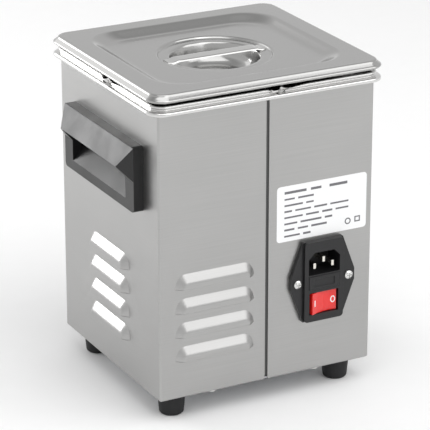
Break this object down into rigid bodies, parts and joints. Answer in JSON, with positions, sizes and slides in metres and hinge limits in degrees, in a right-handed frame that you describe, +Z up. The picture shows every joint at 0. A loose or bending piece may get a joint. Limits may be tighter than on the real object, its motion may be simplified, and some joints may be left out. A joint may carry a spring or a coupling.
{
  "type": "ultrasonic cleaner",
  "caption": "Small bench-top ultrasonic cleaner: louvred stainless casing, pressed tank rim, recessed lid with strap, side carry handles and fused mains inlet.",
  "frame": {"origin": "centre of the footprint, on the table surface under the feet", "axes": "+Z up; the control panel faces -Y, the mains inlet faces +Y, the carry handles face +X and -X"},
  "size_m": [0.194, 0.164, 0.2355],
  "materials": {
    "brushed_casing": "horizontal brushed grain",
    "zinc_sheet": "zinc plated",
    "screw_steel": "nickel plated",
    "foot_rubber": "matt",
    "gasket_rubber": "matt",
    "pressed_tank": "polished pressed sheet",
    "heater_silicone": "silicone pad",
    "black_plastic": "matt",
    "white_ceramic": "glazed",
    "horn_aluminium": "turned",
    "brass_tabs": "bright",
    "back_steel": "turned steel",
    "circuit_board": "solder mask",
    "white_nylon": "nylon",
    "ferrite": "taped winding and core",
    "copper_coil": "enamelled copper",
    "capacitor_sleeve": "shrink sleeve",
    "sink_aluminium": "extruded",
    "bezel_plastic": "fine texture",
    "smoked_window": "tinted",
    "button_plastic": "satin",
    "handle_plastic": "fine moulded texture",
    "inlet_plastic": "satin",
    "pin_metal": "nickel plated",
    "fuse_glass": "glass tube with metal caps",
    "red_plastic": "translucent red",
    "label_film": "printed film",
    "wire_insulation": "PVC",
    "earth_insulation": "PVC",
    "ribbon_insulation": "PVC ribbon",
    "satin_lid": "satin with polished edge",
    "polished_strap": "polished",
    "basket_wire": "polished wire",
    "basket_weave": "woven wire mesh"
  },
  "bodies": {
    "chassis": {"casing": "brushed_casing", "rear_seam_strip": "brushed_casing", "base_plate": "zinc_sheet", "base_screws": "screw_steel", "rubber_feet": "foot_rubber", "foot_screws": "screw_steel", "foot_nuts": "screw_steel", "tank": "pressed_tank", "rim_gasket": "gasket_rubber", "heating_pad": "heater_silicone", "thermal_cutout": "black_plastic", "temperature_sensor": "white_ceramic", "transducer_front_mass": "horn_aluminium", "transducer_ceramic_rings": "white_ceramic", "transducer_electrodes": "brass_tabs", "transducer_back_mass": "back_steel", "transducer_bolt": "screw_steel", "generator_board": "circuit_board", "board_standoffs": "white_nylon", "board_screws": "screw_steel", "board_transformer": "ferrite", "board_inductor": "copper_coil", "board_capacitors": "capacitor_sleeve", "heatsinks": "sink_aluminium", "power_transistors": "black_plastic", "control_bezel": "bezel_plastic", "display_window": "smoked_window", "control_board": "circuit_board", "display_module": "black_plastic", "tact_switches": "black_plastic", "panel_screws": "screw_steel", "side_handle_left": "handle_plastic", "side_handle_right": "handle_plastic", "inlet_housing": "inlet_plastic", "inlet_pins": "pin_metal", "inlet_screws": "screw_steel", "inlet_nuts": "screw_steel", "rocker_pin": "screw_steel", "rating_label": "label_film", "earth_stud": "brass_tabs", "mains_wires": "wire_insulation", "earth_wire": "earth_insulation", "transducer_wires": "wire_insulation", "heater_wires": "wire_insulation", "ribbon_cable": "ribbon_insulation"},
    "basket": {"basket_frame": "basket_wire", "basket_mesh": "basket_weave"},
    "lid": {"lid_shell": "satin_lid", "lid_handle": "polished_strap"},
    "fuse_drawer": {"fuse_drawer": "inlet_plastic", "fuses": "fuse_glass"},
    "rocker": {"rocker": "red_plastic"},
    "button_power": {"button_power": "button_plastic"},
    "button_heat": {"button_heat": "button_plastic"},
    "button_time_down": {"button_time_down": "button_plastic"},
    "button_time_up": {"button_time_up": "button_plastic"},
    "button_temp_down": {"button_temp_down": "button_plastic"},
    "button_temp_up": {"button_temp_up": "button_plastic"}
  },
  "joints": [
    {"name": "basket_lift", "type": "slide", "parent": "chassis", "child": "basket", "axis": [0, 0, 1], "range_m": [0, 0.11]},
    {"name": "lid_lift", "type": "slide", "parent": "basket", "child": "lid", "axis": [0, 0, 1], "range_m": [0, 0.12]},
    {"name": "fuse_drawer_slide", "type": "slide", "parent": "chassis", "child": "fuse_drawer", "axis": [0, 1, 0], "range_m": [0, 0.02]},
    {"name": "rocker_tilt", "type": "hinge", "parent": "chassis", "child": "rocker", "pos_m": [-0.042, 0.0767, 0.0685], "axis": [0, 0, 1], "range_deg": [-16, 0]},
    {"name": "button_power_press", "type": "slide", "parent": "chassis", "child": "button_power", "axis": [0, 1, 0], "range_m": [0, 0.0012], "stiffness_N_per_m": 400, "springref_m": -0.001},
    {"name": "button_heat_press", "type": "slide", "parent": "chassis", "child": "button_heat", "axis": [0, 1, 0], "range_m": [0, 0.0012], "stiffness_N_per_m": 400, "springref_m": -0.001},
    {"name": "button_time_down_press", "type": "slide", "parent": "chassis", "child": "button_time_down", "axis": [0, 1, 0], "range_m": [0, 0.0012], "stiffness_N_per_m": 400, "springref_m": -0.001},
    {"name": "button_time_up_press", "type": "slide", "parent": "chassis", "child": "button_time_up", "axis": [0, 1, 0], "range_m": [0, 0.0012], "stiffness_N_per_m": 400, "springref_m": -0.001},
    {"name": "button_temp_down_press", "type": "slide", "parent": "chassis", "child": "button_temp_down", "axis": [0, 1, 0], "range_m": [0, 0.0012], "stiffness_N_per_m": 400, "springref_m": -0.001},
    {"name": "button_temp_up_press", "type": "slide", "parent": "chassis", "child": "button_temp_up", "axis": [0, 1, 0], "range_m": [0, 0.0012], "stiffness_N_per_m": 400, "springref_m": -0.001}
  ]
}
